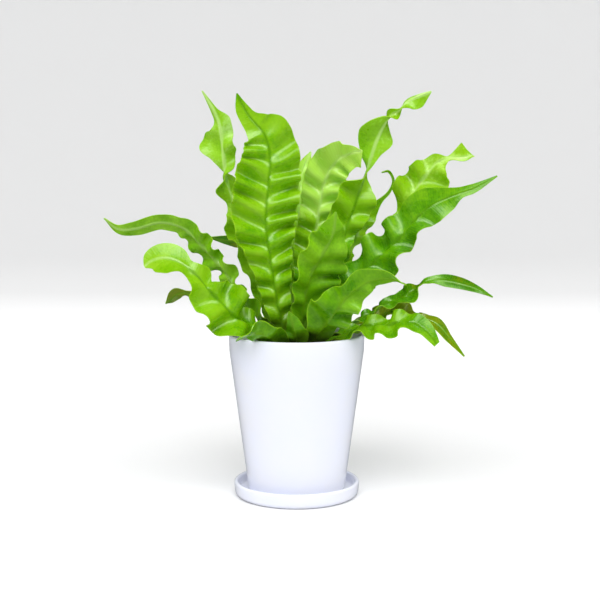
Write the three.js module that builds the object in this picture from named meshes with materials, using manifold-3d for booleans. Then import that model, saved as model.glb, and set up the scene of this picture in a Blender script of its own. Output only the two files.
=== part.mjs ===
// Potted wavy-leaved fern: a rosette of ruffled strap fronds in a white glazed pot on its saucer.
// Millimetres, +Z up, the front of the plant faces -Y. The origin is the middle of the saucer's
// flat foot, on the floor. The pot stands on the saucer, the compost fills the pot, the scaly crown
// sits in a pocket of the compost, and every frond stands in a hole of its own in the crown.
import * as THREE from 'three';
import { mergeVertices } from 'three/addons/utils/BufferGeometryUtils.js';
import Module from 'manifold-3d';

const wasm = await Module();
wasm.setup();

// Clearance between neighbouring pieces
const GAP = 0.3;

// Saucer: a shallow dish with an almost upright wall
const SAUCER_FOOT_R = 51;
const SAUCER_RIM_R = 60.6;
const SAUCER_RIM_Z = 14.3;
const SAUCER_WALL = 4;
const SAUCER_FLOOR_Z = 5;
const SAUCER_SIDES = 64;

// Pot: a tapered wall that ends in an upright rounded rim, drained by one hole
const POT_FOOT_R = 41.5;
const POT_HEEL_R = 47;
const POT_HEEL_RISE = 5;
const POT_SHOULDER_R = 64.6;
const POT_SHOULDER_Z = 141;
const POT_RIM_R = 65;
const POT_RIM_Z = 156.5;
const POT_WALL = 4;
const POT_FLOOR = 6;
const POT_HOLE_R = 7;
const POT_SIDES = 64;

// Compost up to a little below the rim, and the crown in its middle
const COMPOST_Z = 139;
const COMPOST_SIDES = 64;
const CROWN_R = 23;
const CROWN_FOOT_Z = 128;
const CROWN_TOP_Z = 151;
const CROWN_SIDES = 40;

// Frond: stalk, thickness of the blade, forms of its pleats and length of one step along it
const STALK_HALF = 2.3;
const STALK_LENGTH = 12;
const FULL_WIDTH_FROM = 30;
const STALK_HOLE_R = 2.8;
const STALK_HOLE_SIDES = 12;
const MARGIN_THICK = 0.8;
const RIB_THICK_FOOT = 2.6;
const RIB_THICK_TIP = 1.1;
const PLEAT_LEAN = 0.35;
const PLEAT_WANDER = 0.45;
const WANDER_PITCHES = 2.3;
const WANDER_START = 1.7;
const PLEAT_FOLD = 0.2;
const FOLD_CURVE = 1.6;
const CUP_CURVE = 1.5;
const MOST_DRAWN_IN = 0.7;
const NARROWEST = 0.45;
const STEP = 5.2;

// Places of the values in a row of a frond, after its x, y and z
const LEFT = 3;
const RIGHT = 4;
const ROLL = 5;
const RUFFLE = 6;

const CERAMIC = { color: 0xf3f6fb, roughness: 0.14, metalness: 0 };
const COMPOST = { color: 0x2f241c, roughness: 0.98, metalness: 0 };
const CROWN = { color: 0x4a3521, roughness: 0.92, metalness: 0 };
const LEAF = { color: 0x6fb010, roughness: 0.36, metalness: 0 };

// Each frond grows towards the compass angle `facing`, seen from above, 0 along +X and 90 to the
// back. Its rows follow the midrib from the crown to the tip:
// [x, y, z, width left of the midrib, width right of it, roll in degrees, height of the ruffles].
// Left and right are seen from the upper face with the tip up. `pitch` is the length of one pleat,
// `phase` shifts the pleats by a part of one, `cup` is the rise of the margins for each mm out.
const FRONDS = [
  { name: 'frond_front_tall', facing: 100, phase: 0.1, cup: 0.08, pitch: 19.5, rows: [
    [-8, -5, 143, 2.4, 2.4, 0, 0], [-17, -10, 181, 12, 12, 0, 3.5], [-24, -14, 224, 20, 20, 0, 5.5],
    [-29, -14, 264, 32, 29, 0, 7], [-26, -10, 303, 33, 30, 0, 7], [-25, -7, 325, 28, 28, 0, 5],
    [-31, -6, 347, 20, 24.5, -5, 2.5], [-37.5, -6, 354.5, 13, 15, -6, 1], [-44, -6, 362, 10, 7.5, -8, 0],
    [-50, -6, 372, 8, 4, -9, 0], [-56, -6, 384, 0.6, 0.6, -10, 0],
  ] },
  { name: 'frond_left_tall', facing: 150, phase: 0.35, cup: 0.25, pitch: 30, rows: [
    [-8, 4, 143, 2.4, 2.4, -30, 0], [-21, 10, 169, 9, 6, -30, 1.5], [-35, 16, 195, 9, 8, -30, 3],
    [-49, 24, 243, 15, 10, -40, 7],
    [-56, 27, 262, 17, 10, -40, 6], [-62, 30, 281, 7, 10, -38, 4], [-67, 31, 297, 19, 10, -28, 4],
    [-70, 31, 307, 10, 10, 35, 5],
    [-70, 31, 315, 11, 6, 88, 3], [-71, 30, 325, 10, 15, 95, 4], [-72, 30, 335, 14, 28, 95, 5],
    [-73, 29, 346, 11, 25, 95, 4], [-74, 28, 354, 11, 12, 95, 1.5], [-76, 28, 361, 11, 5, 95, 0],
    [-80, 27, 370, 4, 3.5, 95, 0],
    [-91, 26, 389, 0.6, 0.6, 95, 0],
  ] },
  { name: 'frond_back_bent', facing: 90, phase: 0.6, cup: 0.1, pitch: 20, rows: [
    [2, 9, 143, 2.4, 2.4, 0, 0], [9, 22, 197, 12, 12, 0, 3], [17, 30, 240, 20, 21, 0, 5],
    [22, 32, 274, 19, 20, 0, 5.5], [27, 31, 301, 21, 20, -5, 5], [37, 24, 320, 21, 18, -20, 4.5],
    [49, 14, 328, 14, 15, -45, 2.5], [57, 6, 330, 5, 15, -60, 1], [62, 2, 331, 0.6, 0.6, -60, 0],
  ] },
  { name: 'frond_back_upright', facing: 95, phase: 0.15, cup: 0.1, pitch: 22, rows: [
    [-5, 17, 140, 2.4, 2.4, 0, 0], [-1, 44, 205, 12, 12, 0, 3], [2, 56, 264, 17, 17, 0, 4],
    [4, 62, 304, 11, 11, 0, 3], [8, 64, 319, 6, 7, 0, 1], [14, 66, 332, 0.6, 0.6, 0, 0],
  ] },
  { name: 'frond_right_twist', facing: 40, phase: 0.4, cup: 0.25, pitch: 26, rows: [
    [8, 5, 143, 2.4, 2.4, 40, 0], [32, 14, 197, 11, 11, 50, 4], [45, 20, 247, 20, 11, 50, 6],
    [58, 20, 284, 21, 19, 60, 5], [62.5, 19, 298, 18, 11, 65, 2], [66, 18, 308, 4, 5, 140, 1],
    [72, 16, 327, 7, 13, 210, 1],
    [78, 15, 344, 16, 19, 240, 1], [87, 13, 361, 10, 12, 320, 1], [98, 12, 370, 3.5, 3.5, 480, 0],
    [105, 12, 377, 9, 3.5, 560, 0], [116, 11, 382.5, 10, 2, 600, 0], [128, 10, 387, 0.6, 0.6, 620, 0],
  ] },
  { name: 'frond_right_tendril', facing: 50, phase: 0.8, cup: 0.1, pitch: 22, rows: [
    [12, 12, 140, 2.4, 2.4, 40, 0], [36, 32, 186, 9, 7, 50, 4], [53, 44, 235, 15, 6, 60, 5],
    [69, 50, 269, 9, 11, 60, 2], [82, 50, 282, 3, 3, 60, 0], [92, 52, 292, 1.6, 1.6, 60, 0],
    [96, 52, 303, 1.3, 1.3, 60, 0], [91, 50, 312, 1.3, 1.3, 60, 0], [84, 48, 311, 0.6, 0.6, 60, 0],
  ] },
  { name: 'frond_front_mid', facing: -60, phase: 0.5, cup: 0.05, pitch: 22, rows: [
    [1, -9, 143, 2.4, 2.4, 0, 0], [7, -26, 187, 20, 12, 0, 3], [13, -34, 214, 34, 16, 0, 4.5],
    [23, -38, 234, 33, 21, 0, 4], [33, -38, 253, 16, 18, 0, 2.5], [36, -36, 274, 0.6, 0.6, 0, 0],
  ] },
  { name: 'frond_front_small', facing: -100, phase: 0.2, cup: 0.1, pitch: 20, rows: [
    [-2, -17, 140, 2.4, 2.4, 0, 0], [-1, -46, 160, 12, 10, 0, 2.5], [-4, -52, 174, 7, 5, 0, 1],
    [-7, -54, 184, 0.6, 0.6, 0, 0],
  ] },
  { name: 'frond_front_right', facing: -40, phase: 0.3, cup: 0.08, pitch: 26, rows: [
    [6, -16, 140, 2.4, 2.4, -20, 0], [24.5, -45, 168, 16, 17, -30, 4], [36, -58, 185, 20, 25, -40, 6.5],
    [46, -65, 199, 17, 13, -50, 4.5], [65, -70, 213, 10, 13, -50, 2], [84, -72, 215, 5, 7, -50, 0],
    [98, -74, 210, 0.6, 0.6, 0, 0],
  ] },
  { name: 'frond_right_high', facing: 10, phase: 0.1, cup: 0.2, pitch: 26, rows: [
    [16, 6, 140, 2.4, 2.4, 30, 0], [47, 16, 189, 4, 8, 40, 3], [78, 24, 231, 5, 15, 50, 5],
    [99, 26, 265, 6, 18, 50, 6], [111, 24, 287, 20, 20, 60, 7.5], [125, 22, 308, 17, 27, 60, 6.5],
    [137, 20, 321, 9, 17, 60, 2], [146, 19, 324, 2.5, 3, 60, 0], [160, 18, 325, 14, 4, 75, 0],
    [166, 18, 326, 5, 3, 60, 0], [171, 18, 326, 0.6, 0.6, 0, 0],
  ] },
  { name: 'frond_right_mid', facing: 0, phase: 0.35, cup: 0.1, pitch: 31, rows: [
    [9, -2, 143, 2.4, 2.4, 20, 0], [41, -8, 188, 12, 9, 30, 4], [66, -12, 219, 24, 23, 45, 9],
    [89, -14, 241, 23, 23, 50, 9.5], [105, -16, 259, 20, 13, 60, 5], [124, -18, 278, 19, 17, 78, 1.5],
    [142, -20, 287, 10, 12, 80, 0.5], [153, -21, 291, 6, 5, 75, 0], [165, -22, 295, 5, 4, 70, 0],
    [186, -24, 307, 0.6, 0.6, 60, 0],
  ] },
  { name: 'frond_right_arch', facing: -10, phase: 0.2, cup: 0.1, pitch: 24, rows: [
    [16, -6, 140, 2.4, 2.4, 0, 0], [41, -16, 160, 5, 5, 10, 3], [67, -20, 177, 6, 8, 20, 4],
    [88, -22, 190, 5, 8, 30, 4], [103, -22, 195, 14, 14, 40, 4], [115, -22, 205, 6, 6, 20, 2],
    [126, -22, 210, 4, 4, 50, 0], [140, -22, 209.5, 6, 6, 75, 0], [155, -22, 206.5, 5.5, 5.5, 75, 0],
    [169, -22, 202, 3, 4, 75, 0],
    [184, -22, 194, 0.6, 0.6, 30, 0],
  ] },
  { name: 'frond_right_droop', facing: 0, phase: 0.7, cup: 0.1, pitch: 22, rows: [
    [17, 0, 140, 2.4, 2.4, 0, 0], [47, 2, 156, 5, 5, 20, 3], [75, 0, 171, 11, 9, 30, 5],
    [99, -6, 178, 13, 11, 30, 5], [116, -12, 174, 5, 12, 40, 2], [132, -16, 168, 8, 9, 40, 0],
    [144, -20, 155, 4, 7, 40, 0], [158, -24, 138, 0.6, 0.6, 40, 0],
  ] },
  { name: 'frond_right_front', facing: -20, phase: 0.9, cup: 0.1, pitch: 24, rows: [
    [12, -12, 140, 2.4, 2.4, 0, 0], [37, -27, 156, 6, 8, 20, 2], [60, -38, 168, 9, 14, 28, 4],
    [83, -50, 171, 13, 17, 40, 5.5], [101, -60, 175, 12, 11, 40, 3], [114, -62, 170, 10, 8, 40, 0],
    [123, -64, 160.5, 6, 5.5, 40, 0], [127, -64, 155, 3.5, 3.5, 40, 0],
  ] },
  { name: 'frond_left_arch', facing: 170, phase: 0.5, cup: 0.1, pitch: 20, rows: [
    [-16, 5, 140, 2.4, 2.4, 0, 0], [-38, 6, 172, 13, 10, 40, 3], [-60, 11, 200, 8, 16, 60, 4.5],
    [-69, 14, 215, 12, 9, 62, 5],
    [-79, 16, 226, 9, 14, 65, 5], [-96, 14, 245, 13, 13, 65, 4], [-110, 12, 258, 10.5, 11, 60, 1.5],
    [-131, 10, 263, 9, 10, 50, 0], [-155, 8, 257, 8, 9, 50, 0], [-171, 6, 257, 5, 7, 50, 0],
    [-184, 4, 267, 0.6, 0.6, 40, 0],
  ] },
  { name: 'frond_left_curl', facing: 185, phase: 0.83, cup: 0.1, pitch: 28, rows: [
    [-14, -10, 140, 2.4, 2.4, -20, 0], [-35, -27, 162, 7, 14, -10, 3], [-57, -43, 178, 24, 22, -62, 10],
    [-74, -51, 197, 24, 23, -65, 8],
    [-81.5, -51.5, 205, 21, 8, -60, 6], [-88, -52, 213, 16, 17, -55, 4], [-98, -52, 223, 8, 8, -47, 2],
    [-110, -50, 230, 17, 15, -50, 0], [-122, -48, 232, 17, 16, -50, 0], [-133, -46, 229, 12, 12, -50, 0],
    [-139, -46, 224, 1.5, 1.5, -50, 0],
  ] },
  { name: 'frond_left_under', facing: 180, phase: 0.6, cup: 0.1, pitch: 20, rows: [
    [-17, -2, 140, 2.4, 2.4, 0, 0], [-40, -8, 158, 5, 5, 20, 3], [-65, -12, 175, 12, 12, 30, 5],
    [-85, -14, 188, 10, 11, 45, 4], [-104, -14, 197, 3, 4, 45, 0], [-113, -14, 196, 8, 8, 45, 0],
    [-120, -14, 190, 4.5, 5, 45, 0], [-124, -14, 187, 0.6, 0.6, 20, 0],
  ] },
  { name: 'frond_front_left', facing: -125, phase: 0.3, cup: 0.1, pitch: 24, rows: [
    [-9, -14.5, 140, 2.4, 2.4, 0, 0], [-22, -49, 157, 14, 11, 30, 3], [-38, -61, 165, 13, 10, 40, 3],
    [-54, -69, 159, 2, 2, 40, 0],
  ] },
  { name: 'frond_back_left', facing: 140, phase: 0.3, cup: 0.1, pitch: 20, rows: [
    [-5, 8, 143, 2.4, 2.4, 0, 0], [-24, 36, 195, 9, 9, 20, 4], [-39, 52, 228, 11, 11, 40, 5],
    [-55, 60, 240, 10, 11, 40, 2], [-71, 62, 243, 7, 7, 50, 0], [-88, 62, 246, 1, 1, 50, 0],
  ] },
  { name: 'frond_back_low_right', facing: 62, phase: 0.4, cup: 0.1, pitch: 24, rows: [
    [8, 15, 140, 2.4, 2.4, 0, 0], [20, 44, 170, 9, 9, 0, 4], [28, 66, 200, 13, 13, 0, 7],
    [34, 88, 222, 13, 13, 0, 7], [38, 108, 232, 9, 9, 0, 3], [40, 124, 228, 0.6, 0.6, 0, 0],
  ] },
  { name: 'frond_back_mid', facing: 88, phase: 0.9, cup: 0.1, pitch: 24, rows: [
    [1, 17, 140, 2.4, 2.4, 0, 0], [0, 56, 178, 10, 10, 0, 4], [0, 84, 216, 15, 15, 0, 7],
    [-2, 104, 250, 14, 14, 0, 6], [-6, 116, 276, 8, 8, 0, 2], [-9, 124, 296, 0.6, 0.6, 0, 0],
  ] },
  { name: 'frond_back_low_left', facing: 112, phase: 0.2, cup: 0.1, pitch: 24, rows: [
    [-11, 13, 140, 2.4, 2.4, 0, 0], [-22, 50, 164, 9, 9, 0, 4], [-30, 76, 186, 13, 13, 0, 6],
    [-36, 98, 200, 12, 12, 0, 5], [-40, 116, 200, 7, 7, 0, 2], [-42, 130, 192, 0.6, 0.6, 0, 0],
  ] },
];

function material(look) {
  return new THREE.MeshStandardMaterial(look);
}

function asSolid(geometry) {
  const bare = geometry.clone();
  bare.deleteAttribute('normal');
  bare.deleteAttribute('uv');
  const welded = mergeVertices(bare, 1e-4);
  return new wasm.Manifold(new wasm.Mesh({
    numProp: 3,
    vertProperties: new Float32Array(welded.attributes.position.array),
    triVerts: new Uint32Array(welded.index.array),
  }));
}

function asGeometry(solid) {
  const mesh = solid.getMesh();
  const geometry = new THREE.BufferGeometry();
  geometry.setAttribute('position', new THREE.BufferAttribute(mesh.vertProperties, mesh.numProp));
  geometry.setIndex(new THREE.BufferAttribute(mesh.triVerts, 1));
  geometry.computeVertexNormals();
  return geometry;
}

// Turns a profile of [radius, height] points about the upright axis
function turned(profile, sides) {
  const points = profile.map(([r, z]) => new THREE.Vector2(r, z));
  const geometry = new THREE.LatheGeometry(points, sides);
  geometry.rotateX(Math.PI / 2);
  return geometry;
}

// Points of a rounded corner about (r, z), between two angles in degrees
function corner(r, z, radius, from, to, steps) {
  const points = [];
  for (let i = 0; i <= steps; i += 1) {
    const a = THREE.MathUtils.degToRad(from + (to - from) * i / steps);
    points.push([r + radius * Math.cos(a), z + radius * Math.sin(a)]);
  }
  return points;
}

function saucer() {
  const heel = 5;
  const lip = SAUCER_WALL / 2;
  const inner = SAUCER_RIM_R - SAUCER_WALL;
  const fillet = 3;
  const profile = [
    [0, 0],
    [SAUCER_FOOT_R, 0],
    ...corner(SAUCER_FOOT_R + heel - 1, heel, heel, -75, -10, 3),
    ...corner(SAUCER_RIM_R - lip, SAUCER_RIM_Z - lip, lip, 0, 180, 6),
    ...corner(inner - fillet, SAUCER_FLOOR_Z + fillet, fillet, 0, -90, 3),
    [0, SAUCER_FLOOR_Z],
  ];
  return turned(profile, SAUCER_SIDES);
}

function potInnerRadius(z) {
  const rise = THREE.MathUtils.inverseLerp(SAUCER_FLOOR_Z + POT_HEEL_RISE, POT_SHOULDER_Z, z);
  return THREE.MathUtils.lerp(POT_HEEL_R, POT_SHOULDER_R, rise) - POT_WALL;
}

function pot() {
  const foot = SAUCER_FLOOR_Z;
  const floor = foot + POT_FLOOR;
  const lip = 1.8;
  const fillet = 3;
  const heelX = POT_HEEL_R - POT_HEEL_RISE;
  const rimInner = POT_RIM_R - POT_WALL;
  const profile = [
    [POT_HOLE_R, foot],
    [POT_FOOT_R, foot],
    ...corner(heelX, foot + POT_HEEL_RISE, POT_HEEL_RISE, -70, 0, 4),
    [POT_SHOULDER_R, POT_SHOULDER_Z],
    ...corner(POT_RIM_R - lip, POT_RIM_Z - lip, lip, 0, 90, 3),
    ...corner(rimInner + lip, POT_RIM_Z - lip, lip, 90, 180, 3),
    [potInnerRadius(POT_SHOULDER_Z), POT_SHOULDER_Z],
    [potInnerRadius(floor + fillet), floor + fillet],
    [potInnerRadius(floor) - fillet, floor],
    [POT_HOLE_R, floor],
    [POT_HOLE_R, foot],
  ];
  return turned(profile, POT_SIDES);
}

// Fills the pot from its floor, with a round pocket for the crown
function compost() {
  const floor = SAUCER_FLOOR_Z + POT_FLOOR;
  const fillet = 3;
  const pocket = CROWN_R + GAP;
  const rim = potInnerRadius(COMPOST_Z) - GAP;
  const profile = [
    [0, floor],
    [potInnerRadius(floor) - fillet - 2 * GAP, floor],
    [potInnerRadius(floor + fillet) - 2 * GAP, floor + fillet],
    [rim, COMPOST_Z - 2],
    [rim - 3, COMPOST_Z],
    [pocket, COMPOST_Z],
    [pocket, CROWN_FOOT_Z],
    [0, CROWN_FOOT_Z],
  ];
  return turned(profile, COMPOST_SIDES);
}

// Height of the domed top of the crown at a distance from its axis
function crownTop(r) {
  return CROWN_TOP_Z - (CROWN_TOP_Z - COMPOST_Z - 1) * (r / CROWN_R) ** 2;
}

function crown(fronds) {
  const profile = [[0, CROWN_FOOT_Z], [CROWN_R, CROWN_FOOT_Z]];
  for (const part of [1, 0.8, 0.55, 0.3, 0]) {
    profile.push([CROWN_R * part, crownTop(CROWN_R * part)]);
  }
  let solid = asSolid(turned(profile, CROWN_SIDES));
  for (const frond of fronds) {
    solid = solid.subtract(stalkHole(frond));
  }
  return asGeometry(solid);
}

// A round hole along the first stretch of the frond's midrib, open at the top of the crown
function stalkHole(frond) {
  const [x, y, z] = frond.rows[0];
  const along = spine(frond).getTangentAt(0);
  const depth = 2 * (CROWN_TOP_Z - z);
  const hole = new THREE.CylinderGeometry(STALK_HOLE_R, STALK_HOLE_R, depth, STALK_HOLE_SIDES);
  hole.translate(0, depth / 2 - GAP, 0);
  hole.applyQuaternion(new THREE.Quaternion().setFromUnitVectors(THREE.Object3D.DEFAULT_UP, along));
  hole.translate(x, y, z);
  return asSolid(hole);
}

function spine(frond) {
  const points = frond.rows.map(([x, y, z]) => new THREE.Vector3(x, y, z));
  return new THREE.CatmullRomCurve3(points, false, 'centripetal');
}

// Two values of each row, read along the frond
function readings(frond, first, second) {
  const points = frond.rows.map((row) => new THREE.Vector3(row[first], row[second], 0));
  return new THREE.CatmullRomCurve3(points, false, 'catmullrom', 0.5);
}

// Midline of the blade at `steps + 1` places, with the frame that carries the blade there
function stations(frond, steps) {
  const rib = spine(frond);
  const widths = readings(frond, LEFT, RIGHT);
  const turns = readings(frond, ROLL, RUFFLE);
  const length = rib.getLength();
  const facing = THREE.MathUtils.degToRad(frond.facing);
  const level = new THREE.Vector3(-Math.sin(facing), Math.cos(facing), 0);
  const list = [];
  for (let i = 0; i <= steps; i += 1) {
    const u = i / steps;
    const t = rib.getUtoTmapping(u);
    const forward = rib.getTangent(t);
    const width = widths.getPoint(t);
    const turn = turns.getPoint(t);
    const left = level.clone().projectOnPlane(forward).normalize();
    left.applyAxisAngle(forward, THREE.MathUtils.degToRad(turn.x));
    const open = THREE.MathUtils.smoothstep(u * length, STALK_LENGTH, FULL_WIDTH_FROM);
    list.push({
      centre: rib.getPoint(t),
      forward,
      left,
      up: new THREE.Vector3().crossVectors(forward, left),
      along: u * length,
      part: u,
      halves: [
        THREE.MathUtils.lerp(STALK_HALF, Math.max(width.y, NARROWEST), open),
        THREE.MathUtils.lerp(STALK_HALF, Math.max(width.x, NARROWEST), open),
      ],
      ruffle: Math.max(turn.y, 0) * open,
    });
  }
  return list;
}

// A point of the blade's middle face, `across` from -1 at the right margin to 1 at the left one
function bladePoint(frond, at, across) {
  const out = Math.abs(across);
  const side = across > 0 ? 1 : 0;
  const half = at.halves[side];
  const cycle = (at.along - PLEAT_LEAN * out * half) / frond.pitch + frond.phase + side / 2;
  const drift = at.along / (WANDER_PITCHES * frond.pitch) + side / 2 + WANDER_START * frond.phase;
  const wave = 2 * Math.PI * cycle + PLEAT_WANDER * Math.sin(2 * Math.PI * drift);
  const lift = at.ruffle * Math.sin(wave);
  const drawn = Math.sqrt(Math.max(half ** 2 - lift ** 2, (MOST_DRAWN_IN * half) ** 2));
  const reach = across * drawn;
  const rise = lift * out + frond.cup * out ** CUP_CURVE * half;
  const fold = -PLEAT_FOLD * at.ruffle * out ** FOLD_CURVE * Math.sin(2 * wave);
  return at.centre.clone()
    .addScaledVector(at.left, reach)
    .addScaledVector(at.up, rise)
    .addScaledVector(at.forward, fold);
}

// A blade is a ribbon three points wide, given its thickness along the normals of its middle face
function blade(frond) {
  const steps = Math.round(spine(frond).getLength() / STEP);
  const list = stations(frond, steps);
  const middle = list.map((at) => [-1, 0, 1].map((across) => bladePoint(frond, at, across)));
  const vertices = [];
  for (let i = 0; i <= steps; i += 1) {
    const rib = THREE.MathUtils.lerp(RIB_THICK_FOOT, RIB_THICK_TIP, Math.min(1, 2 * list[i].part));
    const thick = [MARGIN_THICK, rib, MARGIN_THICK];
    const above = [];
    const below = [];
    for (let j = 0; j < 3; j += 1) {
      const ahead = middle[Math.min(i + 1, steps)][j];
      const behind = middle[Math.max(i - 1, 0)][j];
      const across = middle[i][Math.min(j + 1, 2)].clone().sub(middle[i][Math.max(j - 1, 0)]);
      const normal = new THREE.Vector3().crossVectors(ahead.clone().sub(behind), across).normalize();
      above.push(middle[i][j].clone().addScaledVector(normal, thick[j] / 2));
      below.push(middle[i][j].clone().addScaledVector(normal, -thick[j] / 2));
    }
    vertices.push(...above, ...below.reverse());
  }
  return ribbon(vertices, steps);
}

// Joins rings of six points: right, rib and left above, then left, rib and right below.
// Every pair of facing cells is split along the same diagonal.
function ribbon(vertices, steps) {
  const faces = [];
  const quad = (a, b, c, d) => faces.push(a, b, c, a, c, d);
  for (let i = 0; i < steps; i += 1) {
    const here = 6 * i;
    const next = here + 6;
    quad(here + 1, here, next, next + 1);
    quad(here + 1, next + 1, next + 2, here + 2);
    quad(here + 2, next + 2, next + 3, here + 3);
    quad(here + 4, here + 3, next + 3, next + 4);
    quad(here + 4, next + 4, next + 5, here + 5);
    quad(here + 5, next + 5, next, here);
  }
  const last = 6 * steps;
  faces.push(0, 1, 4, 0, 4, 5, 1, 2, 3, 1, 3, 4);
  faces.push(last, last + 4, last + 1, last, last + 5, last + 4);
  faces.push(last + 1, last + 3, last + 2, last + 1, last + 4, last + 3);
  const geometry = new THREE.BufferGeometry();
  geometry.setFromPoints(vertices);
  geometry.setIndex(faces);
  geometry.computeVertexNormals();
  return geometry;
}

const group = new THREE.Group();
group.name = 'potted_fern';

function add(name, geometry, look) {
  const mesh = new THREE.Mesh(geometry, material(look));
  mesh.name = name;
  group.add(mesh);
}

add('saucer', saucer(), CERAMIC);
add('pot', pot(), CERAMIC);
add('compost', compost(), COMPOST);
add('crown', crown(FRONDS), CROWN);
for (const frond of FRONDS) {
  add(frond.name, blade(frond), LEAF);
}

export default group;
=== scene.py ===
import math
import random

import bpy
import numpy as np
from mathutils import Matrix, Vector, noise


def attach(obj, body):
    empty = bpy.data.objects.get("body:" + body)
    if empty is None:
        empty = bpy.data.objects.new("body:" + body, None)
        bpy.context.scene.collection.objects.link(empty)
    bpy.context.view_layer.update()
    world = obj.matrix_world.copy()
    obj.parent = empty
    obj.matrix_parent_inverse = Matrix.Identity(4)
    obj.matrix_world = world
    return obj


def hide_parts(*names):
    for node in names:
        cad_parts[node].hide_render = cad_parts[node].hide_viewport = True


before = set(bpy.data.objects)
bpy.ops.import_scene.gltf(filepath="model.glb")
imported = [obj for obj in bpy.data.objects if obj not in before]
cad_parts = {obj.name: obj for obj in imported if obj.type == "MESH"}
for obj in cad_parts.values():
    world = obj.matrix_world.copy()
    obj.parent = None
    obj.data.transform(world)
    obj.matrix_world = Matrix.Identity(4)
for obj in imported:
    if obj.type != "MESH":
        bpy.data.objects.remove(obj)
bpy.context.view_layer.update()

# The saucer: a shallow dish thrown in white earthenware, which catches what drains from the pot.
# It is glazed all over but underneath, within its foot, and is turned here as one closed wall of
# circles: recess, standing ring, heel, rounded lip, inner wall and floor. Lengths are in mm.
MM = 0.001
TURNED_SIDES = 160
SAUCER_FOOT_R, SAUCER_HEEL_R = 51, 5
SAUCER_RIM_R, SAUCER_RIM_Z, SAUCER_WALL = 60.6, 14.3, 4
SAUCER_FLOOR_Z, SAUCER_FILLET = 5, 3
RECESS, RING_WIDTH = 0.9, 4.5
RING_SLANT, HEEL_SET_IN, SAUCER_MID_R, POLE_R = 1, 1, 30, 2
SMOOTH_BELOW = math.radians(35)
MERGE_BELOW = 0.005


def arc(r, z, radius, start, stop, steps):
    """Points (radius, height) of a rounded corner about (r, z), between two angles in degrees."""
    turns = [math.radians(start + (stop - start) * i / steps) for i in range(steps + 1)]
    return [(r + radius * math.cos(a), z + radius * math.sin(a)) for a in turns]


def turn(name, wall, ring=False):
    """Turns a wall of (radius, height) points. A ring ends where it began, others are capped."""
    bpy.ops.object.select_all(action="DESELECT")
    (r, z), *rest = wall
    bpy.ops.mesh.primitive_circle_add(vertices=TURNED_SIDES, radius=r * MM)
    piece = bpy.context.object
    piece.name = piece.data.name = name
    bpy.ops.object.mode_set(mode="EDIT")
    bpy.ops.mesh.select_all(action="SELECT")
    bpy.ops.transform.translate(value=(0, 0, z * MM))
    for r_next, z_next in rest:
        bpy.ops.mesh.extrude_region_move(
            TRANSFORM_OT_translate={"value": (0, 0, (z_next - z) * MM)})
        wider = r_next / r
        bpy.ops.transform.resize(value=(wider, wider, 1), center_override=(0, 0, 0))
        r, z = r_next, z_next
    bpy.ops.mesh.select_all(action="SELECT")
    if ring:
        bpy.ops.mesh.remove_doubles(threshold=MERGE_BELOW * MM)
    else:
        bpy.ops.mesh.fill_holes(sides=0)
    bpy.ops.mesh.normals_make_consistent(inside=False)
    bpy.ops.object.mode_set(mode="OBJECT")
    bpy.ops.object.shade_smooth_by_angle(angle=SMOOTH_BELOW)
    return piece


def srgb(code):
    """A hex colour as linear red, green, blue and alpha."""
    parts = [int(code[i:i + 2], 16) / 255 for i in (1, 3, 5)]
    return [c / 12.92 if c < 0.04045 else ((c + 0.055) / 1.055) ** 2.4 for c in parts] + [1]


def finish_named(name):
    """A new material and its Principled shader."""
    made = bpy.data.materials.new(name)
    made.use_nodes = True
    return made, made.node_tree.nodes["Principled BSDF"]


def feed(node, inputs):
    """Gives inputs of a node a value each, or a link from an output."""
    for socket, value in inputs.items():
        if isinstance(value, bpy.types.NodeSocket):
            node.id_data.links.new(value, node.inputs[socket])
        else:
            node.inputs[socket].default_value = value


def add(made, kind, inputs=None, **settings):
    """Adds a node with its settings and inputs.

    A MapRange has the value as input 0, its range as 1 and 2 and the new range as 3 and 4. A
    colour Mix has the share as input 0 and the colours as 6 and 7, and gives output 2.
    """
    new = made.node_tree.nodes.new("ShaderNode" + kind)
    for setting, value in settings.items():
        setattr(new, setting, value)
    feed(new, inputs or {})
    return new


# Glazed earthenware, dipped and gloss fired: a clean cool white with soft wide reflections, a
# faint unevenness where the glaze ran, and a trace of warmth where it lies thin.
GLAZE_WHITE, GLAZE_THIN = srgb("#ECEFFC"), srgb("#F3F1EC")
GLAZE_RUN_MM, GLAZE_PEEL_MM = 30, 3
GLAZE_RUN_DEEP, GLAZE_PEEL_DEEP = 0.25, 0.02
GLAZE_THIN_FROM, GLAZE_THIN_TO, GLAZE_THIN_SHARE = 0.35, 0.75, 0.3
GLAZE_SMOOTHEST, GLAZE_DULLEST, GLAZE_IOR = 0.14, 0.22, 1.5
NOISE_LOW, NOISE_HIGH = 0.3, 0.7  # most of a noise lies between these
glaze, shader = finish_named("glazed_earthenware")
place = add(glaze, "TexCoord").outputs["Object"]
runs = add(glaze, "TexNoise", {"Vector": place, "Scale": 1 / (GLAZE_RUN_MM * MM), "Detail": 2.0})
peel = add(glaze, "TexNoise", {"Vector": place, "Scale": 1 / (GLAZE_PEEL_MM * MM), "Detail": 2.0})
thin = add(glaze, "MapRange", {0: runs.outputs["Fac"], 1: GLAZE_THIN_FROM, 2: GLAZE_THIN_TO,
                               3: 0.0, 4: GLAZE_THIN_SHARE})
white = add(glaze, "Mix", {0: thin.outputs[0], 6: GLAZE_WHITE, 7: GLAZE_THIN}, data_type="RGBA")
dull = add(glaze, "MapRange", {0: runs.outputs["Fac"], 1: NOISE_LOW, 2: NOISE_HIGH,
                               3: GLAZE_SMOOTHEST, 4: GLAZE_DULLEST})
wavy = add(glaze, "Bump", {"Height": runs.outputs["Fac"], "Strength": 0.25,
                           "Distance": GLAZE_RUN_DEEP * MM})
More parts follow.
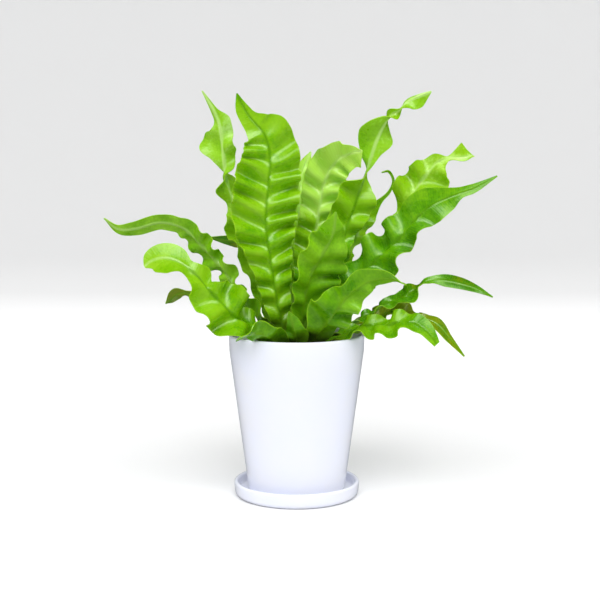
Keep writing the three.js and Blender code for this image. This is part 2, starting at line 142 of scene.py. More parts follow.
skin = add(glaze, "Bump", {"Height": peel.outputs["Fac"], "Strength": 0.2,
                           "Distance": GLAZE_PEEL_DEEP * MM, "Normal": wavy.outputs[0]})
feed(shader, {"Base Color": white.outputs[2], "Roughness": dull.outputs[0],
              "Normal": skin.outputs[0], "IOR": GLAZE_IOR})

# Bare biscuit, wiped clean of glaze so that it doesn't stick in the kiln: dull, pale and gritty.
GRIT_MM, GRIT_DEEP, BISCUIT_ROUGHNESS = 0.7, 0.1, 0.9
BISCUIT_GREY, BISCUIT_CREAM = srgb("#D9CFBE"), srgb("#EFE8DC")
biscuit, shader = finish_named("bare_biscuit_foot")
place = add(biscuit, "TexCoord").outputs["Object"]
grit = add(biscuit, "TexNoise", {"Vector": place, "Scale": 1 / (GRIT_MM * MM), "Detail": 3.0})
clay = add(biscuit, "Mix", {0: grit.outputs["Fac"], 6: BISCUIT_GREY, 7: BISCUIT_CREAM},
           data_type="RGBA")
rough = add(biscuit, "Bump", {"Height": grit.outputs["Fac"], "Strength": 0.6,
                              "Distance": GRIT_DEEP * MM})
feed(shader, {"Base Color": clay.outputs[2], "Normal": rough.outputs[0],
              "Roughness": BISCUIT_ROUGHNESS})
FOOT_SLACK, UPWARD = 0.2, 0.3


def glaze_but_foot(piece, foot_z, foot_r):
    """Glazes a turned piece, and leaves bare what looks down within the foot."""
    piece.data.materials.append(glaze)
    piece.data.materials.append(biscuit)
    for face in piece.data.polygons:
        r = math.hypot(face.center.x, face.center.y)
        under = face.center.z < (foot_z + 2 * RECESS) * MM and r < (foot_r + FOOT_SLACK) * MM
        face.material_index = 1 if under and face.normal.z < UPWARD else 0


lip = SAUCER_WALL / 2
saucer = turn("saucer_glazed", [
    (POLE_R, RECESS), (SAUCER_FOOT_R - RING_WIDTH - RING_SLANT, RECESS),
    (SAUCER_FOOT_R - RING_WIDTH, 0), (SAUCER_FOOT_R, 0),
    *arc(SAUCER_FOOT_R + SAUCER_HEEL_R - HEEL_SET_IN, SAUCER_HEEL_R, SAUCER_HEEL_R, -75, -8, 9),
    *arc(SAUCER_RIM_R - lip, SAUCER_RIM_Z - lip, lip, 0, 180, 14),
    *arc(SAUCER_RIM_R - SAUCER_WALL - SAUCER_FILLET, SAUCER_FLOOR_Z + SAUCER_FILLET,
         SAUCER_FILLET, 0, -90, 8),
    (SAUCER_MID_R, SAUCER_FLOOR_Z), (POLE_R, SAUCER_FLOOR_Z),
])
glaze_but_foot(saucer, 0, SAUCER_FOOT_R)
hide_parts("saucer")
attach(saucer, "root")

# The pot: a tapered flowerpot of the same earthenware, slip cast and glazed inside and out. Its
# wall ends in an upright band with a rounded rim, and a hole in the floor drains it.
POT_FOOT_R, POT_HEEL_R, POT_HEEL_RISE = 41.5, 47, 5
POT_SHOULDER_R, POT_SHOULDER_Z = 64.6, 141
POT_RIM_R, POT_RIM_Z, POT_WALL, POT_LIP = 65, 156.5, 4, 1.9
POT_FLOOR, POT_FILLET, POT_FILLET_KNEE, POT_HOLE_R = 6, 3, (1, 0.8), 7
WALL_RINGS = 14


def pot_inside(z):
    """Radius of the inner wall of the pot at a height."""
    rise = (z - SAUCER_FLOOR_Z - POT_HEEL_RISE) / (POT_SHOULDER_Z - SAUCER_FLOOR_Z - POT_HEEL_RISE)
    return POT_HEEL_R + (POT_SHOULDER_R - POT_HEEL_R) * rise - POT_WALL


pot_floor = SAUCER_FLOOR_Z + POT_FLOOR
inner_rings = [POT_SHOULDER_Z + (pot_floor + POT_FILLET - POT_SHOULDER_Z) * i / WALL_RINGS
               for i in range(WALL_RINGS + 1)]
pot = turn("pot_glazed", [
    (POT_HOLE_R, SAUCER_FLOOR_Z + RECESS),
    (POT_FOOT_R - RING_WIDTH - RING_SLANT, SAUCER_FLOOR_Z + RECESS),
    (POT_FOOT_R - RING_WIDTH, SAUCER_FLOOR_Z), (POT_FOOT_R, SAUCER_FLOOR_Z),
    *arc(POT_HEEL_R - POT_HEEL_RISE, SAUCER_FLOOR_Z + POT_HEEL_RISE, POT_HEEL_RISE, -80, 0, 10),
    *[(pot_inside(z) + POT_WALL, z) for z in reversed(inner_rings[:-1])],
    *arc(POT_RIM_R - POT_LIP, POT_RIM_Z - POT_LIP, POT_LIP, 0, 180, 14),
    *[(pot_inside(z), z) for z in inner_rings],
    (pot_inside(pot_floor) - POT_FILLET_KNEE[0], pot_floor + POT_FILLET_KNEE[1]),
    (pot_inside(pot_floor) - POT_FILLET, pot_floor),
    (POT_HOLE_R, pot_floor), (POT_HOLE_R, SAUCER_FLOOR_Z + RECESS),
], ring=True)
glaze_but_foot(pot, SAUCER_FLOOR_Z, POT_FOOT_R)
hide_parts("pot")
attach(pot, "root")

# The potting compost: dark peat with bark, filled to a little below the rim and pressed down by
# watering, so its top is uneven and its skin crumbly. A round pocket in it holds the crown.
COMPOST_Z, COMPOST_EDGE, POCKET_R, POCKET_Z = 139, 60, 23.3, 128
COMPOST_FOOT_R, COMPOST_HEEL_R, COMPOST_WAIST, COMPOST_GAP = 39.4, 42.8, (51, 75), 0.1
TOP_RINGS, TOP_R, TOP_BEVEL, TOP_BAND, POCKET_SLACK = 26, 57, 2, 1, 0.2
LUMP_MM, CRUMB_MM, LUMP_RISE, CRUMB_RISE, SETTLED = 14, 4, 1.6, 0.9, 0.4
top_rings = [(TOP_R + (POCKET_R - TOP_R) * i / TOP_RINGS, COMPOST_Z)
             for i in range(TOP_RINGS + 1)]
compost = turn("potting_compost", [
    (POLE_R, pot_floor + COMPOST_GAP), (COMPOST_FOOT_R, pot_floor + COMPOST_GAP),
    (COMPOST_HEEL_R, pot_floor + POT_FILLET), COMPOST_WAIST,
    (COMPOST_EDGE, COMPOST_Z - TOP_BEVEL), *top_rings, (POCKET_R, POCKET_Z), (POLE_R, POCKET_Z),
])
for v in compost.data.vertices:
    r = v.co.xy.length / MM
    if v.co.z > (COMPOST_Z - TOP_BAND) * MM and r > POCKET_R + POCKET_SLACK:
        lump = noise.noise(v.co / (LUMP_MM * MM)) * LUMP_RISE
        crumb = noise.noise(v.co / (CRUMB_MM * MM) + Vector((9, 0, 0))) * CRUMB_RISE
        v.co.z += (lump + crumb - SETTLED) * MM

# Moist peat: almost black brown with lighter fibres, crumbly and without any shine.
PEAT_GRAIN_MM, GRAIN_DEEP, CLOD_DEEP, PEAT_ROUGHNESS = 1.6, 0.9, 0.8, 0.95
PEAT_BLACK, PEAT_BROWN = srgb("#1B120C"), srgb("#4A3524")
peat, shader = finish_named("moist_peat_compost")
place = add(peat, "TexCoord").outputs["Object"]
grain = add(peat, "TexNoise", {"Vector": place, "Scale": 1 / (PEAT_GRAIN_MM * MM), "Detail": 6.0})
cells = add(peat, "TexVoronoi", {"Vector": place, "Scale": 1 / (2 * PEAT_GRAIN_MM * MM)})
brown = add(peat, "Mix", {0: grain.outputs["Fac"], 6: PEAT_BLACK, 7: PEAT_BROWN},
            data_type="RGBA")
crumbly = add(peat, "Bump", {"Height": grain.outputs["Fac"], "Strength": 0.9,
                             "Distance": GRAIN_DEEP * MM})
clods = add(peat, "Bump", {"Height": cells.outputs["Distance"], "Strength": 0.7,
                           "Distance": CLOD_DEEP * MM, "Normal": crumbly.outputs[0]})
feed(shader, {"Base Color": brown.outputs[2], "Normal": clods.outputs[0],
              "Roughness": PEAT_ROUGHNESS})
compost.data.materials.append(peat)
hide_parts("compost")
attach(compost, "root")

# Crumbs on the compost: lumps of peat, chips of bark and a few white grains of perlite, which lie
# loose on its top. One lump is modelled and strewn, each copy turned and squashed its own way.
CRUMBS, PERLITE_SHARE, BARK_SHARE = 330, 0.08, 0.35
CRUMB_SIZES, CRUMB_STRETCH, CRUMB_UNEVEN, CRUMB_KNOBS = (0.8, 2.4), (0.8, 1.6), 0.35, 1.7
CRUMB_TURN, CRUMB_TILT, CRUMB_LIFT = 6.3, 0.5, 0.2
CHIP_FLAT, LUMP_FLAT, CROWN_CLEAR, POT_CLEAR = 0.45, 0.8, 2, 3
PEAT_LUMP, BARK_CHIP, PERLITE_GRAIN = 0, 1, 2

# Bark is chipped and brown with fine fibres, and perlite is a chalky white grain full of pores.
BARK_FIBRE_MM, PERLITE_PORE_MM, BARK_ROUGHNESS, PERLITE_ROUGHNESS = 1.2, 0.6, 0.85, 0.9
bark, shader = finish_named("bark_chip")
place = add(bark, "TexCoord").outputs["Object"]
fibre = add(bark, "TexNoise", {"Vector": place, "Scale": 1 / (BARK_FIBRE_MM * MM), "Detail": 4.0})
tan = add(bark, "Mix", {0: fibre.outputs["Fac"], 6: srgb("#3A2415"), 7: srgb("#7A5434")},
          data_type="RGBA")
feed(shader, {"Base Color": tan.outputs[2], "Roughness": BARK_ROUGHNESS})
perlite, shader = finish_named("perlite_grain")
place = add(perlite, "TexCoord").outputs["Object"]
pores = add(perlite, "TexNoise", {"Vector": place, "Scale": 1 / (PERLITE_PORE_MM * MM),
                                  "Detail": 2.0})
chalk = add(perlite, "Mix", {0: pores.outputs["Fac"], 6: srgb("#CFCAC0"), 7: srgb("#F2F0EA")},
            data_type="RGBA")
feed(shader, {"Base Color": chalk.outputs[2], "Roughness": PERLITE_ROUGHNESS})


def strew(name, pattern, places, looks):
    """Copies one small shape to many places, each with a finish of its own, as one piece."""
    copies = []
    for where, look in places:
        copy = pattern.copy()
        copy.data = pattern.data.copy()
        copy.data.transform(where)
        for finish in looks:
            copy.data.materials.append(finish)
        copy.data.polygons.foreach_set("material_index", [look] * len(copy.data.polygons))
        bpy.context.collection.objects.link(copy)
        copies.append(copy)
    bpy.ops.object.select_all(action="DESELECT")
    for copy in copies:
        copy.select_set(True)
    bpy.context.view_layer.objects.active = copies[0]
    bpy.ops.object.join()
    piece = bpy.context.object
    piece.name = piece.data.name = name
    bpy.data.objects.remove(pattern)
    return piece


random.seed(7)
bpy.ops.object.select_all(action="DESELECT")
bpy.ops.mesh.primitive_ico_sphere_add(subdivisions=1, radius=1)
one_crumb = bpy.context.object
for v in one_crumb.data.vertices:
    v.co *= 1 + CRUMB_UNEVEN * noise.noise(v.co * CRUMB_KNOBS)
places = []
for _ in range(CRUMBS):
    r = math.sqrt(random.uniform((POCKET_R + CROWN_CLEAR) ** 2, (COMPOST_EDGE - POT_CLEAR) ** 2))
    a = random.uniform(0, 2 * math.pi)
    size = random.uniform(*CRUMB_SIZES)
    draw = random.random()
    look = BARK_CHIP if draw < PERLITE_SHARE + BARK_SHARE else PEAT_LUMP
    look = PERLITE_GRAIN if draw < PERLITE_SHARE else look
    flat = CHIP_FLAT if look == BARK_CHIP else LUMP_FLAT
    turned = Matrix.Rotation(random.uniform(0, CRUMB_TURN), 4, "Z") @ Matrix.Rotation(
        random.uniform(-CRUMB_TILT, CRUMB_TILT), 4, "X")
    shape = Matrix.Diagonal((size * random.uniform(*CRUMB_STRETCH), size, size * flat, 1))
    where = Matrix.Translation((r * math.cos(a), r * math.sin(a), COMPOST_Z + CRUMB_LIFT * size))
    places.append((Matrix.Scale(MM, 4) @ where @ turned @ shape, look))
crumbs = strew("compost_crumbs", one_crumb, places, (peat, bark, perlite))
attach(crumbs, "root")

# The fronds: ruffled strap blades that unroll from the crown, each on a short stalk. They grew as
# one sheet on a midrib that is furrowed above and raised below, and side veins run to the margins.
BLADE_CELLS, BLADE_CROWDING, BLADE_STEP = 26, 1.4, 1.15
RIB_SAMPLES, NUDGE = 201, 1e-4
BLADE_SMOOTH_BELOW = math.radians(50)
STALK_HALF, STALK_LENGTH, FULL_WIDTH_FROM, NARROWEST = 2.3, 12, 30, 0.45
# pleats: how they lean, wander, fold over, cup and lift towards the margin, and draw it in
PLEAT_LEAN, PLEAT_WANDER, WANDER_PITCHES, WANDER_START = 0.35, 0.45, 2.3, 1.7
PLEAT_FOLD, FOLD_CURVE, CUP_CURVE, LIFT_CURVE, MOST_DRAWN_IN = 0.2, 1.6, 1.5, 0.6, 0.7
# finer forms: thickness, furrow of the midrib, ridges between side veins, nicks of the margin
MARGIN_THICK, RIB_THICK_FOOT, RIB_THICK_TIP, RIB_THIN_FROM, RIB_SPREAD = 0.7, 2.6, 1.1, 0.5, 2.2
FURROW_DEEP, FURROW_HALF, NARROW_BELOW = 0.55, 0.8, 8
VEIN_RISE, VEIN_PITCH, VEIN_SWING, VEIN_SWING_LENGTH, VEIN_START = 0.07, 4.2, 0.6, 17, 5
NICK_RISE, NICK_PITCH, NICK_SWING, NICK_SWING_LENGTH, NICK_START = 0.5, 11, 2.2, 23, 3
NICK_CURVE, NICK_FULL_RUFFLE = 5, 5
# Each frond: its name, the compass angle it grows in, the phase, cup and pitch of its pleats, its
# tones at the crown and at the tip, from 0 for old and deep to 1 for young and pale (past 1 it
# only turns pale sooner, which back_bent uses to paint light on its less lit, bent-over top), and
# rows that follow the midrib from crown to tip: x, y, z, the width left and right of it, roll and
# ruffle.
FRONDS = [
    ("front_tall", 100, 0.1, 0.08, 19.5, (0.54, 0.56), (
        (-8, -5, 143, 2.4, 2.4, 0, 0), (-17, -10, 181, 12, 12, 0, 3.5),
        (-24, -14, 224, 20, 20, 0, 5.5), (-29, -14, 264, 32, 29, 0, 7),
        (-26, -10, 303, 33, 30, 0, 7), (-25, -7, 325, 28, 28, 0, 5),
        (-31, -6, 347, 20, 24.5, -5, 2.5), (-37.5, -6, 354.5, 13, 15, -6, 1),
        (-44, -6, 362, 10, 7.5, -8, 0), (-50, -6, 372, 8, 4, -9, 0),
        (-56, -6, 384, 0.6, 0.6, -10, 0),
    )),
    ("left_tall", 150, 0.35, 0.25, 30, (0.68, 0.8), (
        (-8, 4, 143, 2.4, 2.4, -30, 0), (-21, 10, 169, 9, 6, -30, 1.5),
        (-35, 16, 195, 9, 8, -30, 3), (-49, 24, 243, 15, 10, -40, 7),
        (-56, 27, 262, 17, 10, -40, 6), (-62, 30, 281, 7, 10, -38, 4),
        (-67, 31, 297, 19, 10, -28, 4), (-70, 31, 307, 10, 10, 35, 5),
        (-70, 31, 315, 11, 6, 88, 3), (-71, 30, 325, 10, 15, 95, 4),
        (-72, 30, 335, 14, 28, 95, 5), (-73, 29, 346, 11, 25, 95, 4),
        (-74, 28, 354, 11, 12, 95, 1.5), (-76, 28, 361, 11, 5, 95, 0),
        (-80, 27, 370, 4, 3.5, 95, 0), (-91, 26, 389, 0.6, 0.6, 95, 0),
    )),
    # back_bent's tip tone of 1.36 is part young colour and part painted light: its bent-over top
    # faces away from the lamps and is painted paler to make up for it.
    ("back_bent", 90, 0.6, 0.1, 20, (0.14, 1.36), (
        (2, 9, 143, 2.4, 2.4, 0, 0), (9, 22, 197, 12, 12, 0, 3), (17, 30, 240, 20, 21, 0, 5),
        (22, 32, 274, 19, 20, 0, 5.5), (27, 31, 301, 21, 20, -5, 5),
        (37, 24, 320, 21, 18, -20, 4.5), (49, 14, 328, 14, 15, -45, 2.5),
        (57, 6, 330, 5, 15, -60, 1), (62, 2, 331, 0.6, 0.6, -60, 0),
    )),
    ("back_upright", 95, 0.15, 0.1, 22, (0.9, 0.95), (
        (-5, 17, 140, 2.4, 2.4, 0, 0), (-1, 44, 205, 12, 12, 0, 3), (2, 56, 264, 17, 17, 0, 4),
        (4, 62, 304, 11, 11, 0, 3), (8, 64, 319, 6, 7, 0, 1), (14, 66, 332, 0.6, 0.6, 0, 0),
    )),
    ("right_twist", 40, 0.4, 0.25, 26, (0.32, 0.84), (
        (8, 5, 143, 2.4, 2.4, 40, 0), (32, 14, 197, 11, 11, 50, 4), (45, 20, 247, 20, 11, 50, 6),
        (58, 20, 284, 21, 19, 60, 5), (62.5, 19, 298, 18, 11, 65, 2), (66, 18, 308, 4, 5, 140, 1),
        (72, 16, 327, 7, 13, 210, 1), (78, 15, 344, 16, 19, 240, 1),
        (87, 13, 361, 10, 12, 320, 1), (98, 12, 370, 3.5, 3.5, 480, 0),
        (105, 12, 377, 9, 3.5, 560, 0), (116, 11, 382.5, 10, 2, 600, 0),
        (128, 10, 387, 0.6, 0.6, 620, 0),
    )),
    ("right_tendril", 50, 0.8, 0.1, 22, (0.7, 0.6), (
        (12, 12, 140, 2.4, 2.4, 40, 0), (36, 32, 186, 9, 7, 50, 4), (53, 44, 235, 15, 6, 60, 5),
        (69, 50, 269, 9, 11, 60, 2), (82, 50, 282, 3, 3, 60, 0), (92, 52, 292, 1.6, 1.6, 60, 0),
        (96, 52, 303, 1.3, 1.3, 60, 0), (91, 50, 312, 1.3, 1.3, 60, 0),
        (84, 48, 311, 0.6, 0.6, 60, 0),
    )),
    ("front_mid", -60, 0.5, 0.05, 22, (0.44, 0.54), (
        (1, -9, 143, 2.4, 2.4, 0, 0), (7, -26, 187, 20, 12, 0, 3), (13, -34, 214, 34, 16, 0, 4.5),
        (23, -38, 234, 33, 21, 0, 4), (33, -38, 253, 16, 18, 0, 2.5),
        (36, -36, 274, 0.6, 0.6, 0, 0),
    )),
    ("front_small", -100, 0.2, 0.1, 20, (0.35, 0.35), (
        (-2, -17, 140, 2.4, 2.4, 0, 0), (-1, -46, 160, 12, 10, 0, 2.5),
        (-4, -52, 174, 7, 5, 0, 1), (-7, -54, 184, 0.6, 0.6, 0, 0),
    )),
    ("front_right", -40, 0.3, 0.08, 26, (0.36, 0.45), (
        (6, -16, 140, 2.4, 2.4, -20, 0), (24.5, -45, 168, 16, 17, -30, 4),
        (36, -58, 185, 20, 25, -40, 6.5), (46, -65, 199, 17, 13, -50, 4.5),
        (65, -70, 213, 10, 13, -50, 2), (84, -72, 215, 5, 7, -50, 0),
        (98, -74, 210, 0.6, 0.6, 0, 0),
    )),
    ("right_high", 10, 0.1, 0.2, 26, (0.58, 0.84), (
        (16, 6, 140, 2.4, 2.4, 30, 0), (47, 16, 189, 4, 8, 40, 3), (78, 24, 231, 5, 15, 50, 5),
        (99, 26, 265, 6, 18, 50, 6), (111, 24, 287, 20, 20, 60, 7.5),
        (125, 22, 308, 17, 27, 60, 6.5), (137, 20, 321, 9, 17, 60, 2),
        (146, 19, 324, 2.5, 3, 60, 0), (160, 18, 325, 14, 4, 75, 0), (166, 18, 326, 5, 3, 60, 0),
        (171, 18, 326, 0.6, 0.6, 0, 0),
    )),
    ("right_mid", 0, 0.35, 0.1, 31, (0.22, 0.4), (
        (9, -2, 143, 2.4, 2.4, 20, 0), (41, -8, 188, 12, 9, 30, 4), (66, -12, 219, 24, 23, 45, 9),
        (89, -14, 241, 23, 23, 50, 9.5), (105, -16, 259, 20, 13, 60, 5),
        (124, -18, 278, 19, 17, 78, 1.5), (142, -20, 287, 10, 12, 80, 0.5),
        (153, -21, 291, 6, 5, 75, 0), (165, -22, 295, 5, 4, 70, 0),
        (186, -24, 307, 0.6, 0.6, 60, 0),
    )),
    ("right_arch", -10, 0.2, 0.1, 24, (0.3, 0.22), (
        (16, -6, 140, 2.4, 2.4, 0, 0), (41, -16, 160, 5, 5, 10, 3), (67, -20, 177, 6, 8, 20, 4),
        (88, -22, 190, 5, 8, 30, 4), (103, -22, 195, 14, 14, 40, 4), (115, -22, 205, 6, 6, 20, 2),
        (126, -22, 210, 4, 4, 50, 0), (140, -22, 209.5, 6, 6, 75, 0),
        (155, -22, 206.5, 5.5, 5.5, 75, 0), (169, -22, 202, 3, 4, 75, 0),
        (184, -22, 194, 0.6, 0.6, 30, 0),
    )),
    ("right_droop", 0, 0.7, 0.1, 22, (0, 0), (
        (17, 0, 140, 2.4, 2.4, 0, 0), (47, 2, 156, 5, 5, 20, 3), (75, 0, 171, 11, 9, 30, 5),
        (99, -6, 178, 13, 11, 30, 5), (116, -12, 174, 5, 12, 40, 2), (132, -16, 168, 8, 9, 40, 0),
        (144, -20, 155, 4, 7, 40, 0), (158, -24, 138, 0.6, 0.6, 40, 0),
    )),
    ("right_front", -20, 0.9, 0.1, 24, (0.4, 0.5), (
        (12, -12, 140, 2.4, 2.4, 0, 0), (37, -27, 156, 6, 8, 20, 2), (60, -38, 168, 9, 14, 28, 4),
        (83, -50, 171, 13, 17, 40, 5.5), (101, -60, 175, 12, 11, 40, 3),
        (114, -62, 170, 10, 8, 40, 0), (123, -64, 160.5, 6, 5.5, 40, 0),
        (127, -64, 155, 3.5, 3.5, 40, 0),
    )),
    ("left_arch", 170, 0.5, 0.1, 20, (0.5, 0.66), (
        (-16, 5, 140, 2.4, 2.4, 0, 0), (-38, 6, 172, 13, 10, 40, 3),
        (-60, 11, 200, 8, 16, 60, 4.5), (-69, 14, 215, 12, 9, 62, 5),
        (-79, 16, 226, 9, 14, 65, 5), (-96, 14, 245, 13, 13, 65, 4),
        (-110, 12, 258, 10.5, 11, 60, 1.5), (-131, 10, 263, 9, 10, 50, 0),
        (-155, 8, 257, 8, 9, 50, 0), (-171, 6, 257, 5, 7, 50, 0), (-184, 4, 267, 0.6, 0.6, 40, 0),
    )),
    ("left_curl", 185, 0.83, 0.1, 28, (0.36, 0.72), (
        (-14, -10, 140, 2.4, 2.4, -20, 0), (-35, -27, 162, 7, 14, -10, 3),
        (-57, -43, 178, 24, 22, -62, 10), (-74, -51, 197, 24, 23, -65, 8),
        (-81.5, -51.5, 205, 21, 8, -60, 6), (-88, -52, 213, 16, 17, -55, 4),
        (-98, -52, 223, 8, 8, -47, 2), (-110, -50, 230, 17, 15, -50, 0),
        (-122, -48, 232, 17, 16, -50, 0), (-133, -46, 229, 12, 12, -50, 0),
        (-139, -46, 224, 1.5, 1.5, -50, 0),
    )),
    ("left_under", 180, 0.6, 0.1, 20, (0.02, 0.02), (
        (-17, -2, 140, 2.4, 2.4, 0, 0), (-40, -8, 158, 5, 5, 20, 3),
        (-65, -12, 175, 12, 12, 30, 5), (-85, -14, 188, 10, 11, 45, 4),
        (-104, -14, 197, 3, 4, 45, 0), (-113, -14, 196, 8, 8, 45, 0),
        (-120, -14, 190, 4.5, 5, 45, 0), (-124, -14, 187, 0.6, 0.6, 20, 0),
    )),
    ("front_left", -125, 0.3, 0.1, 24, (0.4, 0.4), (
        (-9, -14.5, 140, 2.4, 2.4, 0, 0), (-22, -49, 157, 14, 11, 30, 3),
        (-38, -61, 165, 13, 10, 40, 3), (-54, -69, 159, 2, 2, 40, 0),
    )),
    ("back_left", 140, 0.3, 0.1, 20, (0.12, 0.12), (
        (-5, 8, 143, 2.4, 2.4, 0, 0), (-24, 36, 195, 9, 9, 20, 4), (-39, 52, 228, 11, 11, 40, 5),
        (-55, 60, 240, 10, 11, 40, 2), (-71, 62, 243, 7, 7, 50, 0), (-88, 62, 246, 1, 1, 50, 0),
    )),
    ("back_low_right", 62, 0.4, 0.1, 24, (0.4, 0.4), (
        (8, 15, 140, 2.4, 2.4, 0, 0), (20, 44, 170, 9, 9, 0, 4), (28, 66, 200, 13, 13, 0, 7),
        (34, 88, 222, 13, 13, 0, 7), (38, 108, 232, 9, 9, 0, 3), (40, 124, 228, 0.6, 0.6, 0, 0),
    )),
    ("back_mid", 88, 0.9, 0.1, 24, (0.5, 0.5), (
        (1, 17, 140, 2.4, 2.4, 0, 0), (0, 56, 178, 10, 10, 0, 4), (0, 84, 216, 15, 15, 0, 7),
        (-2, 104, 250, 14, 14, 0, 6), (-6, 116, 276, 8, 8, 0, 2), (-9, 124, 296, 0.6, 0.6, 0, 0),
    )),
    ("back_low_left", 112, 0.2, 0.1, 24, (0.4, 0.4), (
        (-11, 13, 140, 2.4, 2.4, 0, 0), (-22, 50, 164, 9, 9, 0, 4), (-30, 76, 186, 13, 13, 0, 6),
        (-36, 98, 200, 12, 12, 0, 5), (-40, 116, 200, 7, 7, 0, 2),
        (-42, 130, 192, 0.6, 0.6, 0, 0),
    )),
]


def spline(points, t, power):
    """Points of a smooth curve at t, 0 to 1. Power 0.5 spaces its knots by distance, 0 evenly."""
    p = np.vstack([2 * points[0] - points[1], points, 2 * points[-1] - points[-2]])
    at = np.clip(t, 0, 1) * (len(p) - 3)
    i = np.minimum(at.astype(int), len(p) - 4)
    w = (at - i)[:, None]
    p0, p1, p2, p3 = (p[i + k] for k in range(4))
    k0, k1, k2 = (np.linalg.norm(b - a, axis=1)[:, None] ** power
                  for a, b in ((p0, p1), (p1, p2), (p2, p3)))
    s1 = ((p1 - p0) / k0 - (p2 - p0) / (k0 + k1) + (p2 - p1) / k1) * k1
    s2 = ((p2 - p1) / k1 - (p3 - p1) / (k1 + k2) + (p3 - p2) / k2) * k1
    cubed, squared = 2 * p1 - 2 * p2 + s1 + s2, 3 * p2 - 3 * p1 - 2 * s1 - s2
    return cubed * w ** 3 + squared * w ** 2 + s1 * w + p1


def unit(rows):
    """Rows of vectors, each made one long."""
    return rows / np.linalg.norm(rows, axis=1)[:, None]


def ease(share):
    """A share of 0 to 1, made to start and end gently."""
    return share ** 2 * (3 - 2 * share)


def midrib(facing, rows, u):
    """Length of the midrib, and at shares u of it: centre, forward, left and up, and readings."""
    fine = np.linspace(0, 1, RIB_SAMPLES)
    hops = np.linalg.norm(np.diff(spline(rows[:, :3], fine, 0.5), axis=0), axis=1)
    run = np.concatenate([[0], np.cumsum(hops)])
    t = np.interp(u * run[-1], run, fine)
    ahead = spline(rows[:, :3], np.minimum(t + NUDGE, 1), 0.5)
    behind = spline(rows[:, :3], np.maximum(t - NUDGE, 0), 0.5)
    forward = unit(ahead - behind)
    level = np.array([-math.sin(math.radians(facing)), math.cos(math.radians(facing)), 0])
    read = spline(rows[:, 3:], t, 0)
    flat = unit(level - (forward @ level)[:, None] * forward)
    roll = np.radians(read[:, 2])[:, None]
    left = flat * np.cos(roll) + np.cross(forward, flat) * np.sin(roll)
    centre = spline(rows[:, :3], t, 0.5)
    return run[-1], centre, forward, left, np.cross(forward, left), read


def pleat(across, along, read, phase, cup, pitch):
    """Half widths of a blade, and how far its points lie beside, above and ahead of the midrib."""
    out = np.abs(across)
    leftward = across > 0
    half = np.maximum(np.where(leftward, read[:, 0], read[:, 1]), NARROWEST)
    opened = ease(np.clip((along - STALK_LENGTH) / (FULL_WIDTH_FROM - STALK_LENGTH), 0, 1))
    half = STALK_HALF + (half - STALK_HALF) * opened
    ruffle = np.maximum(read[:, 3], 0) * opened
    shift = leftward / 2
    climb = along - PLEAT_LEAN * out * half
    drift = along / (WANDER_PITCHES * pitch) + shift + WANDER_START * phase
    wave = 2 * np.pi * (climb / pitch + phase + shift)
    wave = wave + PLEAT_WANDER * np.sin(2 * np.pi * drift)
    lift = ruffle * np.sin(wave)
    beside = across * np.sqrt(np.maximum(half ** 2 - lift ** 2, (MOST_DRAWN_IN * half) ** 2))
    above = lift * out ** LIFT_CURVE + cup * out ** CUP_CURVE * half
    ahead = -PLEAT_FOLD * ruffle * out ** FOLD_CURVE * np.sin(2 * wave)
    narrow = np.clip(half / NARROW_BELOW, 0, 1)
    above -= FURROW_DEEP * np.exp(-(beside / FURROW_HALF) ** 2) * opened * narrow
    swing = VEIN_SWING * np.sin(along / VEIN_SWING_LENGTH + VEIN_START * phase)
    ridge = np.sin(2 * np.pi * climb / VEIN_PITCH + swing)
    above += VEIN_RISE * ridge * np.sin(np.pi * out) * narrow
    swing = NICK_SWING * np.sin(along / NICK_SWING_LENGTH)
    nick = np.sin(2 * np.pi * along / NICK_PITCH + swing + NICK_START * shift)
    above += NICK_RISE * nick * out ** NICK_CURVE * np.clip(ruffle / NICK_FULL_RUFFLE, 0, 1)
    return half, beside, above, ahead


def grow(name, facing, phase, cup, pitch, tones, rows):
    """A blade: a fine grid laid along the midrib, pleated, veined and given its thickness."""
    rows = np.array(rows, float)
    length = midrib(facing, rows, np.array([0.0, 1.0]))[0]
    bpy.ops.object.select_all(action="DESELECT")
    bpy.ops.mesh.primitive_grid_add(
        x_subdivisions=BLADE_CELLS, y_subdivisions=round(length / BLADE_STEP), size=2)
    blade = bpy.context.object
    blade.name = blade.data.name = "blade_" + name
    mesh = blade.data
    grid = np.empty(len(mesh.vertices) * 3)
    mesh.vertices.foreach_get("co", grid)
    x, y = grid[0::3], grid[1::3]
    across = -np.sign(x) * np.abs(x) ** BLADE_CROWDING
    u = (y + 1) / 2
    along = u * length
    _, centre, forward, left, up, read = midrib(facing, rows, u)
    half, beside, above, ahead = pleat(across, along, read, phase, cup, pitch)
    spot = (centre + left * beside[:, None] + up * above[:, None] + forward * ahead[:, None]) * MM
    mesh.vertices.foreach_set("co", spot.ravel())
    sheet = mesh.uv_layers[0]
    sheet.name = "blade"
    corner = np.empty(len(mesh.loops), int)
    mesh.loops.foreach_get("vertex_index", corner)
    laid = np.stack([across * half, along], axis=1) * MM
    sheet.uv.foreach_set("vector", laid[corner].ravel())
    tone = tones[0] + (tones[1] - tones[0]) * ease(u)
    for label, values in (("tone", tone), ("outness", np.abs(across))):
        mesh.attributes.new(label, "FLOAT", "POINT").data.foreach_set("value", values)
    rib = RIB_THICK_FOOT + (RIB_THICK_TIP - RIB_THICK_FOOT) * np.clip(u / RIB_THIN_FROM, 0, 1)
    thick = MARGIN_THICK + (rib - MARGIN_THICK) * np.exp(-(beside / RIB_SPREAD) ** 2)
    weights = blade.vertex_groups.new(name="thickness")
    for i, value in enumerate(thick / RIB_THICK_FOOT):
        weights.add([i], value, "REPLACE")
    mesh.update()
    body = blade.modifiers.new("body", "SOLIDIFY")
    body.thickness, body.offset = RIB_THICK_FOOT * MM, 0
    body.vertex_group = "thickness"
    body.material_offset = 1
    mesh.materials.append(upper_face)
    mesh.materials.append(under_face)
    bpy.ops.object.modifier_apply(modifier="body")
    bpy.ops.object.shade_smooth_by_angle(angle=BLADE_SMOOTH_BELOW)
    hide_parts("frond_" + name)
    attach(blade, "root")


